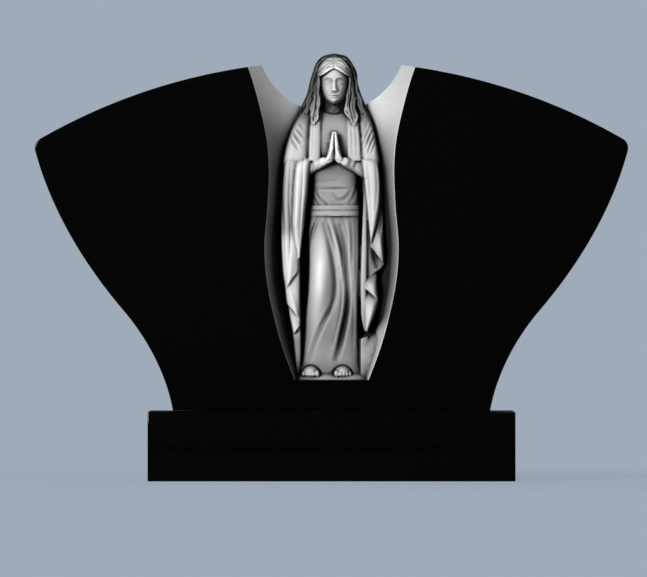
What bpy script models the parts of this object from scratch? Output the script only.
"""A carved headstone: a fan-shaped stele with a praying figure in its niche, on a plinth.

Metres, +Z up, the front facing -Y. The origin is the middle of the plinth's underside.
"""

import math

import bmesh
import bpy
import numpy as np
from mathutils import Matrix, Vector
from mathutils.geometry import interpolate_bezier

# Plinth
PLINTH_LENGTH = 0.742
PLINTH_DEPTH = 0.250
PLINTH_HEIGHT = 0.140
JOINT_GAP = 0.0003  # bedding joint under the stele

# Stele outline, heights from its foot
STELE_WIDTH = 1.200  # over the two tips
STELE_THICKNESS = 0.140
FOOT_WIDTH = 0.641
CROWN_HEIGHT = 0.709  # where the top arc would peak
CROWN_RADIUS = 1.182
WAIST_HEIGHT = 0.205  # where the flank turns from hollow to full
WAIST_WIDTH = 0.843
TIP_ROUNDING = 0.022
FOOT_SLANT = math.radians(10)  # the flank's lean from upright, at the foot
WAIST_SLANT = math.radians(40.5)
TIP_SLANT = math.radians(15)
ARRIS = 0.002  # chamfer on the edges of the slab and the plinth

# Niche, and the round notch that opens it at the top, heights from the stele's foot
NICHE_FLOOR = 0.064
NICHE_DEPTH = 0.100  # at its belly
NICHE_FOOT_DEPTH = 0.085
NICHE_MOUTH_DEPTH = 0.060
NICHE_FOOT_WIDTH = 0.150
NICHE_BELLY_WIDTH = 0.271
NICHE_NECK_WIDTH = 0.254
NICHE_MOUTH_WIDTH = 0.338
SCOOP = 3.0  # power of the niche's bowl: higher is flatter in the middle
MOUTH_SCOOP = 2.0
NOTCH_RADIUS = 0.152
NOTCH_HEIGHT = 0.757
OVERCUT = 0.05  # how far a cut runs on past the slab
RIM_RUN_ON = 1.02  # the bowl's reach, in the niche's half width, so that it crosses the slab's face

# Figure: its carving is in hundredths of its height
FIGURE_HEIGHT = 0.662
GRAIN = 0.62  # the fused clay's grain, in the same hundredths
FACETS_KEPT = 0.15  # share of the fused faces
BACK_COVER = 0.0035  # stone between the figure's hidden side and the slab's back

STELE_FOOT = PLINTH_HEIGHT + JOINT_GAP
FRONT = -STELE_THICKNESS / 2
UNIT = FIGURE_HEIGHT / 100
FLOOR = STELE_FOOT + NICHE_FLOOR
BEHIND = (STELE_THICKNESS - NICHE_DEPTH - BACK_COVER) / UNIT  # room for the figure behind the niche


def follow(knots, at):
    """Values of a smooth curve through (place, value) knots, at the given places."""
    knots = np.array(knots, float)
    places, values = knots[np.argsort(knots[:, 0])].T
    slopes = np.gradient(values, places)
    at = np.clip(at, places[0], places[-1])
    i = np.clip(np.searchsorted(places, at) - 1, 0, len(places) - 2)
    step = places[i + 1] - places[i]
    t = (at - places[i]) / step
    return (
        (2 * t**3 - 3 * t**2 + 1) * values[i]
        + (t**3 - 2 * t**2 + t) * step * slopes[i]
        + (3 * t**2 - 2 * t**3) * values[i + 1]
        + (t**3 - t**2) * step * slopes[i + 1]
    )


def smooth_path(points, count):
    """Points along a smooth curve through the given points."""
    points = np.array(points, float)
    marks = np.arange(len(points))
    at = np.linspace(0, len(points) - 1, count)
    return np.stack([follow(np.stack([marks, c], 1), at) for c in points.T], 1)


def fold(x, z, path, width):
    """Cloth raised, or cut where the height is negative, along a path of (x, z, height)."""
    points = smooth_path(path, 5 * len(path))
    near = np.full(x.shape, np.inf)
    height = np.zeros(x.shape)
    for start, end in zip(points[:-1], points[1:]):
        run = end[:2] - start[:2]
        share = ((x - start[0]) * run[0] + (z - start[1]) * run[1]) / (run @ run)
        share = np.clip(share, 0, 1)
        away = np.hypot(x - start[0] - share * run[0], z - start[1] - share * run[1])
        closer = away < near
        near = np.where(closer, away, near)
        height = np.where(closer, start[2] + share * (end[2] - start[2]), height)
    return height * np.exp(-((near / width) ** 2))


def solid_between(mesh, across, down, shape):
    """A closed solid between a front and a rear surface, over a grid.

    shape takes the grid's shares across and up, and gives x, z, and both surfaces' y.
    """
    grid = bmesh.ops.create_grid(mesh, x_segments=across, y_segments=down, size=0.5)
    rear = grid["verts"]
    u = np.array([vertex.co.x + 0.5 for vertex in rear])
    v = np.array([vertex.co.y + 0.5 for vertex in rear])
    faces = list({face for vertex in rear for face in vertex.link_faces})
    made = bmesh.ops.extrude_face_region(mesh, geom=faces, use_keep_orig=True)["geom"]
    front = {tuple(w.co): w for w in made if isinstance(w, bmesh.types.BMVert)}
    pairs = [(vertex, front[tuple(vertex.co)]) for vertex in rear]
    x, z, front_y, rear_y = shape(u, v)
    for i, (vertex, forward) in enumerate(pairs):
        vertex.co = (x[i], rear_y[i], z[i])
        forward.co = (x[i], front_y[i], z[i])
    skin = {face for pair in pairs for vertex in pair for face in vertex.link_faces}
    bmesh.ops.recalc_face_normals(mesh, faces=list(skin))


class Clay:
    """Overlapping closed shapes of the figure, in its own hundredths: x, depth, z.

    Depth is measured forward from the niche's deepest plane.
    """

    def __init__(self):
        self.mesh = bmesh.new()

    def forward(self, depth):
        return FRONT + NICHE_DEPTH - depth * UNIT

    def place(self, x, depth, z):
        return Vector((x * UNIT, self.forward(depth), FLOOR + z * UNIT))

    def panel(
        self, top, bottom, left, right, crown, edge, back=-2.0, folds=(), across=22, down=44, squareness=2.6
    ):
        """A hanging cloth or a flat mass, between its left and right edges.

        top and bottom are heights at the left and the right end. left, right and crown are
        (height, value) knots. edge is the depth at both sides, one value or such knots, and
        folds are (path, width). A higher squareness makes the sheet flatter and its sides steeper.
        """

        def shape(u, v):
            z_top = top[0] + (top[1] - top[0]) * u
            z_bottom = bottom[0] + (bottom[1] - bottom[0]) * u
            z = z_bottom + (z_top - z_bottom) * v
            x_left = follow(left, z)
            x = x_left + (follow(right, z) - x_left) * u
            rounding = np.sqrt(1 - np.abs(2 * u - 1) ** squareness)
            rim = follow(edge, z) if isinstance(edge, list) else edge
            depth = rim + (follow(crown, z) - rim) * rounding
            for path, width in folds:
                depth += fold(x, z, path, width) * np.minimum(1, 2 * rounding)
            rear = np.full(x.shape, float(back))
            return x * UNIT, FLOOR + z * UNIT, self.forward(depth), self.forward(rear)

        solid_between(self.mesh, across, down, shape)

    def add(self, mesh):
        self.mesh.from_mesh(mesh)
        bpy.data.meshes.remove(mesh)

    def roll(self, points, sides=4, steps=5):
        """A limb, finger, lock or rolled edge through points of (x, depth, z, radius)."""
        curve = bpy.data.curves.new("roll", "CURVE")
        curve.dimensions = "3D"
        curve.bevel_depth = UNIT
        curve.bevel_resolution = sides
        curve.use_fill_caps = True
        spline = curve.splines.new("POLY")
        points = smooth_path(points, steps * (len(points) - 1) + 1)
        spline.points.add(len(points) - 1)
        for target, (x, depth, z, radius) in zip(spline.points, points):
            target.co = (*self.place(x, depth, z), 1)
            target.radius = radius
        holder = bpy.data.objects.new("roll", curve)
        self.add(bpy.data.meshes.new_from_object(holder))
        bpy.data.objects.remove(holder)

    def ball(self, centre, size):
        """An egg of the given half sizes, across, deep and high."""
        egg = bmesh.new()
        bmesh.ops.create_uvsphere(egg, u_segments=24, v_segments=16, radius=UNIT)
        bmesh.ops.scale(egg, verts=egg.verts, vec=size)
        bmesh.ops.translate(egg, verts=egg.verts, vec=self.place(*centre))
        mesh = bpy.data.meshes.new("ball")
        egg.to_mesh(mesh)
        egg.free()
        self.add(mesh)


def mirror(points, middle):
    """The same points on the other side of the figure's middle."""
    return [(2 * middle - x, *rest) for x, *rest in points]


def model_gown(clay):
    """The belted gown, with one knee forward, and its folds."""
    knee = [(-1.8, 47, 0.4), (-2.8, 38, 1.9), (-3.2, 30, 2.8), (-3.9, 23, 1.8), (-5.2, 8, 0.4)]
    thigh_edge = [(-2.2, 47.8, -0.4), (0.4, 38, -0.8), (1.4, 29, -0.9), (0.3, 22.5, -0.8), (-3.5, 16, -0.6), (-7.2, 6, -0.3)]
    long_fold = [(2.6, 47, -0.5), (3.9, 41, -1.0), (5.0, 30, -1.1), (4.9, 22.5, -1.5), (3.3, 14, -1.4), (1.5, 6.5, -0.5)]
    hip_fold = [(-3.8, 49, -0.3), (-6.2, 44.5, -0.9), (-7.2, 40, -0.3)]
    clay.panel(
        top=(51, 51),
        bottom=(1.2, 1.2),
        left=[(51, -6.6), (46, -7.0), (40, -6.9), (33, -6.9), (27, -7.2), (20, -7.9), (12, -8.3), (6, -8.9), (1, -10.0)],
        right=[(51, 8.6), (40, 8.6), (25, 8.5), (10, 8.5), (4, 8.9), (1, 10.2)],
        crown=[(51, 9.6), (44, 10.2), (34, 11.0), (28, 10.9), (20, 10.2), (12, 9.8), (5, 10.6), (1, 11.6)],
        edge=[(51, 7.8), (30, 8.8), (12, 7.8), (1, 9.4)],
        folds=[(knee, 3.4), (thigh_edge, 0.6), (long_fold, 0.75), (hip_fold, 0.6)],
        squareness=4,
    )
    clay.panel(  # blouse
        top=(84, 84),
        bottom=(50.5, 50.5),
        left=[(84, -3.5), (81, -8), (76, -9.5), (66, -8.6), (61.5, -6.4), (57, -6.4), (50, -6.4)],
        right=[(84, 5.3), (81, 9.6), (76, 11), (66, 10.2), (61.5, 8.4), (57, 8.5), (50, 8.6)],
        crown=[(84, 7.0), (81.5, 9.6), (79, 10.7), (76, 11.3), (70, 11.4), (66, 10.9), (63, 10.2), (57, 10.2), (53.5, 10.0), (50, 9.4)],
        edge=7.0,
        squareness=3.4,
        folds=[
            ([(-3.8, 58, -0.5), (0.8, 57.8, -0.6), (5.2, 58, -0.5)], 0.5),
            ([(-6, 57.6, -0.5), (-4.4, 54.8, -0.6), (-1, 53.6, -0.3)], 0.5),
            ([(5, 58, -0.4), (3.8, 56, -0.5), (1, 55.2, -0.3)], 0.5),
        ],
    )
    clay.panel(  # belt
        top=(53.2, 53.2),
        bottom=(50.3, 50.3),
        left=[(54, -6.6), (50, -6.7)],
        right=[(54, 8.7), (50, 8.8)],
        crown=[(54, 10.6), (50, 10.6)],
        edge=8.0,
        down=6,
    )


def model_mantle(clay):
    """The mantle: borders down the breast, the cloth over the arms and the hanging folds."""
    clay.panel(  # left border
        top=(81, 81),
        bottom=(67, 67),
        left=[(81, -6.4), (74, -6.8), (67, -7.0)],
        right=[(81, -2.8), (75, -3.1), (67, -3.3)],
        crown=[(81, 10.9), (78, 11.9), (74, 12.2), (67, 12.4)],
        edge=[(81, 9.3), (74, 11.0), (67, 11.3)],
        across=10,
        squareness=4,
    )
    clay.panel(  # right border
        top=(81, 81),
        bottom=(67, 67),
        left=[(81, 4.4), (75, 4.6), (67, 4.8)],
        right=[(81, 8.0), (74, 8.8), (67, 9.2)],
        crown=[(81, 10.9), (78, 11.9), (74, 12.2), (67, 12.4)],
        edge=[(81, 9.3), (74, 11.0), (67, 11.3)],
        across=10,
        squareness=4,
    )
    over_arm = {
        "crown": [(87.5, 5.2), (84.5, 7.6), (81.6, 9.6), (78, 10.9), (74, 11.7), (69, 12.3), (67.4, 12.2), (66, 11.3), (64.6, 10.2)],
        "edge": [(87.5, 3.6), (82, 5.6), (76, 7.8), (69, 8.8), (64.6, 8.2)],
        "squareness": 3.4,
        "back": 1.0,
    }
    clay.panel(  # cloth from the left shoulder over the upper arm
        top=(87.5, 87.5),
        bottom=(64.6, 68.4),
        left=[(87.5, -6.4), (84.5, -8.2), (81.6, -10.1), (78.8, -11.5), (74.4, -13.1), (70, -14.3), (64.6, -15.0)],
        right=[(87.5, -3.0), (82.6, -4.6), (78, -6.2), (72, -6.7), (67, -6.9)],
        **over_arm,
    )
    clay.panel(
        top=(87.5, 87.5),
        bottom=(68.4, 65.4),
        left=[(87.5, 4.6), (82.6, 6.2), (78, 8.0), (72, 8.7), (67, 8.9)],
        right=[(87.5, 8.0), (84.5, 9.8), (82, 11.4), (79.6, 12.3), (76.1, 13.2), (71.8, 14.0), (65.4, 15.1)],
        **over_arm,
    )
    clay.panel(  # inside of the mantle, behind the gown
        top=(78, 78),
        bottom=(0, 0),
        left=[(78, -8), (66, -12), (30, -11), (12, -9.8), (0, -9)],
        right=[(78, 9), (66, 13), (30, 12), (12, 9.6), (0, 10)],
        crown=[(78, 5), (0, 5)],
        edge=3.0,
    )
    clay.panel(  # back of the mantle, left, down to the first zigzag
        top=(70, 70),
        bottom=(27.2, 33.4),
        left=[(70, -14.0), (66, -14.6), (60, -15.1), (50, -15.5), (38, -15.2), (32, -14.8), (27, -14.1)],
        right=[(70, -8), (60, -9.0), (50, -9.4), (40, -9.6), (27, -9.8)],
        crown=[(70, 9.8), (50, 10.6), (38, 11.0), (27, 11.0)],
        edge=8.6,
        folds=[
            ([(-14.2, 66, -0.6), (-14.3, 55, -0.9), (-14.0, 40, -0.8)], 0.5),
            ([(-12.9, 50, 0.4), (-12.6, 40, 0.8), (-13.6, 29, 0.6)], 0.7),
        ],
    )
    clay.panel(
        top=(36, 36),
        bottom=(23.2, 17.8),
        left=[(36, -14.2), (27, -14.1), (23, -13.6), (17, -12.0)],
        right=[(36, -9.6), (18, -9.5)],
        crown=[(36, 9.8), (18, 11.0)],
        edge=8.8,
    )
    clay.panel(
        top=(26, 26),
        bottom=(13.4, 16.6),
        left=[(26, -13.6), (20, -12.9), (13, -11.7)],
        right=[(26, -9.5), (13, -9.3)],
        crown=[(26, 9.2), (13, 10.8)],
        edge=8.6,
    )
    clay.panel(
        top=(18, 18),
        bottom=(0, 0),
        left=[(18, -12.4), (13, -11.8), (7, -11.2), (0, -10.8)],
        right=[(18, -9.4), (9, -9.3), (0, -9.7)],
        crown=[(18, 8.6), (8, 10.4), (0, 10.8)],
        edge=[(18, 7.8), (8, 9.6), (0, 10.0)],
    )
    clay.panel(  # the long drape over the left forearm
        top=(67.8, 67.8),
        bottom=(37.4, 37.0),
        left=[(67.8, -10.6), (61.5, -11.4), (52.8, -12.0), (47.6, -12.2), (43.2, -11.6), (37, -10.0)],
        right=[(67.8, -6.4), (62.4, -7.0), (51.9, -7.9), (45.8, -8.5), (37, -9.7)],
        crown=[(67.8, 13.7), (60, 13.2), (48, 12.5), (37, 11.0)],
        edge=[(67.8, 11.8), (62, 11.3), (54, 10.2), (37, 9.6)],
    )
    clay.panel(  # its outer fold, on from the shoulder
        top=(73, 73),
        bottom=(33.5, 31.0),
        left=[(73, -13.2), (68, -14.2), (61, -14.9), (50, -14.9), (40, -14.3), (32, -13.9)],
        right=[(73, -9.0), (67.8, -9.8), (60, -10.8), (50, -11.6), (40, -10.6), (31, -10.2)],
        crown=[(73, 11.6), (67.8, 11.9), (58, 11.4), (45, 10.8), (31, 10.2)],
        edge=9.0,
        folds=[([(-12.6, 66, -0.4), (-13.0, 56, -0.6), (-12.7, 44, -0.5), (-13.0, 36, -0.3)], 0.5)],
    )
    clay.panel(  # back of the mantle, right
        top=(70, 70),
        bottom=(41.2, 34.8),
        left=[(70, 9.0), (60, 9.4), (50, 10.2), (41, 11.6), (35, 12.4)],
        right=[(70, 13.9), (66, 14.8), (57, 15.5), (50, 15.9), (44, 16.0), (35, 16.3)],
        crown=[(70, 10.2), (55, 10.6), (46, 10.6), (39, 11.2), (35, 10.4)],
        edge=8.8,
        folds=[([(14.6, 62, -0.6), (14.6, 50, -0.9), (13.2, 43, -0.5)], 0.5)],
    )
    clay.panel(
        top=(48, 44),
        bottom=(30.4, 35.2),
        left=[(48, 11.0), (42, 11.4), (30, 10.3)],
        right=[(48, 14.6), (36, 16.3), (34, 16.2)],
        crown=[(48, 9.8), (30, 9.8)],
        edge=8.6,
        folds=[([(13.4, 43, -0.9), (14.0, 36, -0.9)], 0.9)],
    )
    clay.panel(
        top=(36, 36),
        bottom=(28.2, 24.4),
        left=[(36, 9.9), (25, 10.2)],
        right=[(36, 14.2), (30, 13.9), (24.4, 14.2)],
        crown=[(36, 8.6), (32, 9.4), (29, 11.8), (25, 12.6)],
        edge=[(36, 8.0), (31, 9.0), (25, 10.6)],
    )
    clay.panel(
        top=(31, 31),
        bottom=(14.6, 14.6),
        left=[(31, 9.8), (14.6, 10.2)],
        right=[(31, 13.8), (24, 14.4), (20, 13.3), (17, 12.0), (14.6, 11.0)],
        crown=[(31, 9.0), (27, 10.0), (23, 12.0), (14.6, 12.0)],
        edge=[(31, 8.4), (26, 9.2), (14.6, 10.4)],
    )
    clay.panel(  # inner strip
        top=(62, 62),
        bottom=(14.8, 15.4),
        left=[(62, 9.9), (55, 9.7), (48, 9.4), (40, 9.1), (25, 8.9), (18, 9.3), (14.8, 10.0)],
        right=[(62, 11.0), (40, 11.0), (25, 10.8), (14.8, 11.0)],
        crown=[(62, 10.2), (40, 11.0), (25, 11.2), (14.8, 11.0)],
        edge=[(62, 9.2), (25, 10.2), (14.8, 10.2)],
        across=10,
    )
    clay.panel(  # inner layer beside it
        top=(62, 62),
        bottom=(30.6, 32.4),
        left=[(62, 10.2), (45, 9.8), (30, 9.9)],
        right=[(62, 11.6), (48, 12.2), (42, 13.2), (36, 13.2), (30, 12.6)],
        crown=[(62, 9.6), (45, 9.9), (30, 9.8)],
        edge=9.2,
    )
    clay.panel(
        top=(12.6, 13.4),
        bottom=(0, 0),
        left=[(13.4, 8.9), (0, 8.9)],
        right=[(13.4, 11.2), (0, 11.0)],
        crown=[(13.4, 10.0), (6, 11.2), (0, 11.8)],
        edge=[(13.4, 9.6), (6, 10.8), (0, 11.4)],
        across=10,
    )
    clay.panel(  # bank of ground in the right corner
        top=(13.0, 19.0),
        bottom=(-1.5, -1.5),
        left=[(20, 9.2), (-1.5, 9.2)],
        right=[(20, 17.2), (14, 16.0), (8, 14.4), (4, 13.0), (0, 12.0), (-1.5, 11.6)],
        crown=[(20, 5.4), (14, 8.4), (10, 10.4), (6, 11.0), (0, 11.4), (-1.5, 11.5)],
        edge=[(20, 5.0), (14, 8.0), (10, 10.0), (6, 10.7), (0, 11.2), (-1.5, 11.3)],
    )
    clay.panel(  # the leaf-shaped drape over the right forearm
        top=(67.6, 67.6),
        bottom=(42.0, 42.0),
        left=[(67.6, 9.2), (59.3, 10.2), (52.8, 10.9), (46.7, 11.5), (42, 12.0)],
        right=[(67.6, 13.9), (63, 14.6), (59.3, 14.8), (52.8, 14.6), (48.4, 13.9), (44.1, 12.8), (42, 12.2)],
        crown=[(67.6, 13.2), (60, 12.6), (48, 12.3), (42, 11.8)],
        edge=[(67.6, 11.6), (62, 11.2), (54, 10.8), (42, 11.0)],
        folds=[([(10.8, 66, 0.4), (11.0, 55, 0.7), (11.6, 45, 0.5)], 0.9)],
    )


def model_arms_and_hands(clay):
    """Forearms across the waist, and the two hands pressed together, fingers up."""
    middle = 0.85
    forearm = [(-8.0, 8.0, 64.4, 2.9), (-6.5, 9.6, 64.7, 2.8), (-4.8, 11.2, 65.5, 2.3), (-2.7, 12.5, 66.5, 1.45)]
    wrist = [(-2.6, 12.9, 66.6, 1.1), (-0.9, 13.3, 67.3, 1.0), (0.0, 13.3, 68.4, 1.1)]
    palm = [(-1.2, 13.1, 66.9, 1.0), (-0.2, 13.2, 68.2, 1.15), (0.15, 13.1, 71.4, 0.9)]
    little = [(-0.3, 14.2, 68.0, 0.75), (0.05, 14.3, 70.6, 0.62), (0.4, 14.2, 73.8, 0.38)]
    ring = [(-0.0, 13.4, 69.0, 0.75), (0.2, 13.5, 72.2, 0.62), (0.45, 13.4, 75.4, 0.38)]
    long_finger = [(0.0, 12.4, 69.0, 0.75), (0.2, 12.6, 72.6, 0.62), (0.5, 12.6, 75.9, 0.35)]
    for part in (forearm, wrist, palm, little, ring, long_finger):
        clay.roll(part)
        clay.roll(mirror(part, middle))


def model_head(clay):
    """Head, neck, parted hair and the long locks, under a veil that leaves the face free."""
    middle = 0.9
    clay.roll([(middle, 5.6, 78.5, 3.2), (middle, 6.4, 82.5, 2.5), (middle, 7.2, 88, 2.6)])
    clay.roll([(middle, 3.6, 76, 6.5), (middle, 4.4, 83, 6.4), (middle, 5.4, 88, 5.6)])  # hair behind it
    clay.ball((middle, 8.2, 91.9), (4.7, 5.1, 6.2))  # skull
    clay.ball((middle, 9.3, 88.9), (3.75, 3.9, 4.7))  # face
    clay.roll([(middle, 12.6, 91.2, 0.5), (middle, 13.6, 88.8, 0.7), (middle, 12.8, 88.2, 0.5)])
    clay.ball((middle, 6.4, 92.4), (6.5, 5.4, 7.5))  # veil over the back of the head
    clay.ball((middle, 3.0, 92.0), (6.0, BEHIND + 0.1, 6.9))
    clay.ball((middle, 1.0, 80.0), (9.3, BEHIND + 0.5, 10.5))
    clay.roll(
        [
            (middle, 1.5, 76.0, BEHIND + 1.5),
            (middle, 2.0, 83.0, BEHIND + 1.3),
            (middle, 2.6, 88.0, BEHIND + 0.5),
            (middle, 3.0, 92.0, BEHIND - 0.1),
        ]
    )
    rim = [
        (-10.4, 6.8, 80.4, 1.1),
        (-8.2, 6.4, 85.0, 1.1),
        (-6.1, 6.7, 90.0, 1.0),
        (-5.2, 7.3, 94.4, 0.95),
        (-2.7, 8.1, 97.9, 0.9),
        (middle, 8.4, 99.2, 0.9),
    ]
    clay.roll(rim)
    clay.roll(mirror(rim, middle))
    brow_hair = [
        (0.4, 11.2, 97.2, 0.9),
        (-1.6, 11.7, 96.0, 1.45),
        (-3.2, 10.9, 94.5, 1.35),
        (-4.2, 9.8, 92.8, 1.0),
    ]
    lock = [
        (-4.2, 9.6, 93.0, 1.0),
        (-4.4, 9.6, 88.4, 1.05),
        (-4.8, 9.8, 84.6, 1.35),
        (-5.0, 11.0, 81.8, 1.5),
        (-5.3, 11.8, 78.6, 0.7),
    ]
    outer_lock = [
        (-5.2, 7.2, 90.0, 1.3),
        (-6.8, 7.2, 86.0, 1.4),
        (-8.0, 7.8, 82.6, 1.3),
        (-8.8, 8.6, 79.8, 0.6),
    ]
    for part in (brow_hair, lock, outer_lock):
        clay.roll(part)
        clay.roll(mirror(part, middle))


def model_feet(clay):
    """Bare toes on the mound, under the hem."""
    clay.panel(  # sloping ground
        top=(2.4, 2.4),
        bottom=(-1.5, -1.5),
        left=[(2.4, -10.4), (0, -11.4), (-1.5, -11.6)],
        right=[(2.4, 11.0), (0, 12.0), (-1.5, 12.2)],
        crown=[(2.4, 10.4), (1.4, 12.4), (0.5, 13.8), (-0.2, 14.5), (-1.5, 14.7)],
        edge=[(2.4, 6.0), (1.0, 9.0), (-1.5, 12.4)],
        down=10,
        squareness=4,
    )
    for centre in (-6.3, 3.4):
        clay.ball((centre, 9.6, 2.0), (2.75, 4.1, 2.4))
        for i, size in enumerate((0.72, 0.66, 0.66, 0.66, 0.6)):
            clay.ball((centre + 1.05 * (i - 2), 13.3 - 0.12 * abs(i - 2), 1.7), (size, 1.0, size))


def fuse_figure(helpers, finish):
    """The clay fused into one faceted solid, a helper that the stele is joined with."""
    clay = Clay()
    model_gown(clay)
    model_mantle(clay)
    model_arms_and_hands(clay)
    model_head(clay)
    model_feet(clay)
    bmesh.ops.remove_doubles(clay.mesh, verts=clay.mesh.verts, dist=0.00002)
    figure = as_object("figure_clay", clay.mesh, helpers)
    fuse = figure.modifiers.new("fuse", "REMESH")
    fuse.mode = "VOXEL"
    fuse.voxel_size = GRAIN * UNIT
    soften = figure.modifiers.new("soften", "SMOOTH")
    soften.factor = 0.5
    soften.iterations = 2
    facet = figure.modifiers.new("facet", "DECIMATE")
    facet.ratio = FACETS_KEPT
    figure.data.materials.append(finish)
    return as_helper(figure)


def as_object(name, mesh, collection):
    data = bpy.data.meshes.new(name)
    mesh.to_mesh(data)
    mesh.free()
    made = bpy.data.objects.new(name, data)
    collection.objects.link(made)
    return made


def as_helper(made):
    made.hide_render = True
    made.display_type = "WIRE"
    return made


def ray(angle):
    return Vector((math.cos(angle), math.sin(angle)))


def bezier(start, start_lean, end, end_lean, count):
    """Points of one smooth run between two (x, z) points, each with its direction."""
    reach = (Vector(end) - Vector(start)).length / 3
    first = Vector(start) + reach * start_lean
    last = Vector(end) - reach * end_lean
    return [p.to_2d() for p in interpolate_bezier(Vector(start), first, last, Vector(end), count)]


def flank():
    """The right side of the stele's outline, from the foot to the crown's middle."""
    crown_centre = Vector((0, CROWN_HEIGHT - CROWN_RADIUS))
    corner_x = STELE_WIDTH / 2 - TIP_ROUNDING
    crown_start = math.acos(corner_x / (CROWN_RADIUS - TIP_ROUNDING))
    corner = crown_centre + (CROWN_RADIUS - TIP_ROUNDING) * ray(crown_start)

    def around(centre, radius, start, end, count):
        return [centre + radius * ray(angle) for angle in np.linspace(start, end, count)]

    def lean(angle):
        return ray(math.pi / 2 - angle)

    foot, waist = (FOOT_WIDTH / 2, 0), (WAIST_WIDTH / 2, WAIST_HEIGHT)
    tip = around(corner, TIP_ROUNDING, -TIP_SLANT, 0, 4)
    points = bezier(foot, lean(FOOT_SLANT), waist, lean(WAIST_SLANT), 12)[:-1]
    points += bezier(waist, lean(WAIST_SLANT), tip[0], lean(TIP_SLANT), 20)[:-1]
    points += tip[:-1] + around(corner, TIP_ROUNDING, 0, crown_start, 6)[:-1]
    return points + around(crown_centre, CROWN_RADIUS, crown_start, math.pi / 2, 25)


def extruded(name, outline, thickness, collection):
    """A flat outline of (x, z) points as a solid slab, standing upright."""
    curve = bpy.data.curves.new(name, "CURVE")
    curve.dimensions = "2D"
    curve.fill_mode = "BOTH"
    curve.extrude = thickness / 2
    spline = curve.splines.new("POLY")
    spline.points.add(len(outline) - 1)
    for target, point in zip(spline.points, outline):
        target.co = (point[0], point[1], 0, 1)
    spline.use_cyclic_u = True
    holder = bpy.data.objects.new(name, curve)
    mesh = bmesh.new()
    mesh.from_mesh(bpy.data.meshes.new_from_object(holder))
    bpy.data.objects.remove(holder)
    bmesh.ops.remove_doubles(mesh, verts=mesh.verts, dist=0.00001)
    bmesh.ops.rotate(mesh, verts=mesh.verts, matrix=Matrix.Rotation(math.pi / 2, 3, "X"))
    return as_object(name, mesh, collection)


def niche_half(z):
    """Half the niche's width at heights over the stele's foot."""
    foot, belly = NICHE_FOOT_WIDTH / 2, NICHE_BELLY_WIDTH / 2
    neck, mouth = NICHE_NECK_WIDTH / 2, NICHE_MOUTH_WIDTH / 2
    swell = belly - foot
    flare = mouth - neck
    knots = [
        (0.00, foot),
        (0.09, foot + 0.36 * swell),
        (0.20, foot + 0.69 * swell),
        (0.33, foot + 0.95 * swell),
        (0.42, belly),
        (0.55, neck + 0.25 * (belly - neck)),
        (0.68, neck),
        (0.75, neck + 0.09 * flare),
        (0.85, neck + 0.41 * flare),
        (0.98, mouth),
        (1.10, mouth + 0.80 * flare),
    ]
    return follow(knots, (z - NICHE_FLOOR) / (CROWN_HEIGHT - NICHE_FLOOR))


def niche_cutter(helpers, finish):
    """The scooped niche, open beyond the slab's face and over its crown."""
    height = CROWN_HEIGHT - NICHE_FLOOR
    top = height + OVERCUT
    deepening = [
        (0, NICHE_FOOT_DEPTH),
        (0.15, NICHE_FOOT_DEPTH + 0.6 * (NICHE_DEPTH - NICHE_FOOT_DEPTH)),
        (0.35, NICHE_DEPTH),
        (0.60, NICHE_DEPTH),
        (0.80, NICHE_MOUTH_DEPTH + 0.55 * (NICHE_DEPTH - NICHE_MOUTH_DEPTH)),
        (1.00, NICHE_MOUTH_DEPTH),
        (1.10, 0.93 * NICHE_MOUTH_DEPTH),
    ]
    rounding = [(0, SCOOP), (0.50, SCOOP), (0.80, MOUTH_SCOOP + 0.1), (1.10, MOUTH_SCOOP - 0.2)]

    def shape(u, v):
        share = v * top / height
        side = (2 * u - 1) * RIM_RUN_ON
        bowl = FRONT + follow(deepening, share) * (1 - np.abs(side) ** follow(rounding, share))
        open_front = np.full(side.shape, FRONT - OVERCUT)
        return niche_half(NICHE_FLOOR + top * v) * side, FLOOR + top * v, open_front, bowl

    mesh = bmesh.new()
    solid_between(mesh, 24, 30, shape)
    cutter = as_object("niche_cutter", mesh, helpers)
    cutter.data.materials.append(finish)
    return as_helper(cutter)


def notch_cutter(helpers, finish):
    """The round notch through the crown, in which the head stands free."""
    mesh = bmesh.new()
    bmesh.ops.create_cone(
        mesh,
        cap_ends=True,
        segments=96,
        radius1=NOTCH_RADIUS,
        radius2=NOTCH_RADIUS,
        depth=STELE_THICKNESS + 2 * OVERCUT,
        matrix=Matrix.Translation((0, 0, STELE_FOOT + NOTCH_HEIGHT)) @ Matrix.Rotation(math.pi / 2, 4, "X"),
    )
    cutter = as_object("notch_cutter", mesh, helpers)
    cutter.data.materials.append(finish)
    return as_helper(cutter)


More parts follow.
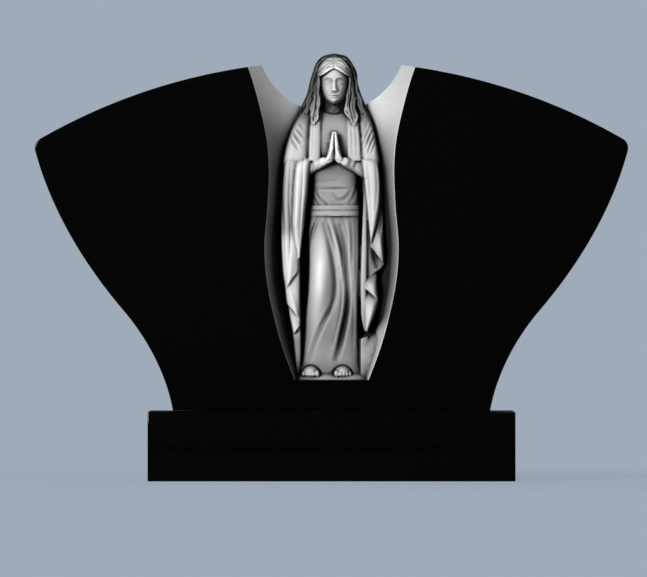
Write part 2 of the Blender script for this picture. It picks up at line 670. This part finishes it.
def granite(name, colour, roughness):
    made = bpy.data.materials.new(name)
    made.use_nodes = True
    shader = made.node_tree.nodes["Principled BSDF"]
    shader.inputs["Base Color"].default_value = (*colour, 1)
    shader.inputs["Roughness"].default_value = roughness
    shader.inputs["Metallic"].default_value = 0
    return made


def chamfer(made):
    edges = made.modifiers.new("arris", "BEVEL")
    edges.width = ARRIS
    edges.segments = 1
    edges.limit_method = "ANGLE"
    edges.angle_limit = math.radians(50)


def join(made, operation, other):
    step = made.modifiers.new(other.name, "BOOLEAN")
    step.operation = operation
    step.solver = "EXACT"
    step.material_mode = "TRANSFER"
    step.object = other


def build_stele(collection, helpers, polished, carved):
    right = flank()
    left = [Vector((-p.x, p.y)) for p in reversed(right[:-1])]
    stele = extruded("stele", right + left, STELE_THICKNESS, collection)
    stele.data.transform(Matrix.Translation((0, 0, STELE_FOOT)))
    stele.data.materials.append(polished)
    chamfer(stele)
    join(stele, "DIFFERENCE", niche_cutter(helpers, carved))
    join(stele, "DIFFERENCE", notch_cutter(helpers, carved))
    join(stele, "UNION", fuse_figure(helpers, carved))
    return stele


def build_plinth(collection, polished):
    mesh = bmesh.new()
    bmesh.ops.create_cube(mesh, size=1)
    bmesh.ops.scale(mesh, verts=mesh.verts, vec=(PLINTH_LENGTH, PLINTH_DEPTH, PLINTH_HEIGHT))
    bmesh.ops.translate(mesh, verts=mesh.verts, vec=(0, 0, PLINTH_HEIGHT / 2))
    plinth = as_object("plinth", mesh, collection)
    plinth.data.materials.append(polished)
    chamfer(plinth)
    return plinth


def main():
    for old in list(bpy.data.objects):
        bpy.data.objects.remove(old)
    collection = bpy.data.collections.new("headstone")
    helpers = bpy.data.collections.new("headstone_helpers")
    bpy.context.scene.collection.children.link(collection)
    bpy.context.scene.collection.children.link(helpers)
    stele_polish = granite("polished black granite", (0.010, 0.010, 0.011), 0.12)
    plinth_polish = granite("plinth black granite", (0.010, 0.010, 0.011), 0.12)
    carved = granite("carved grey granite", (0.36, 0.37, 0.37), 0.6)
    build_plinth(collection, plinth_polish)
    build_stele(collection, helpers, stele_polish, carved)


main()
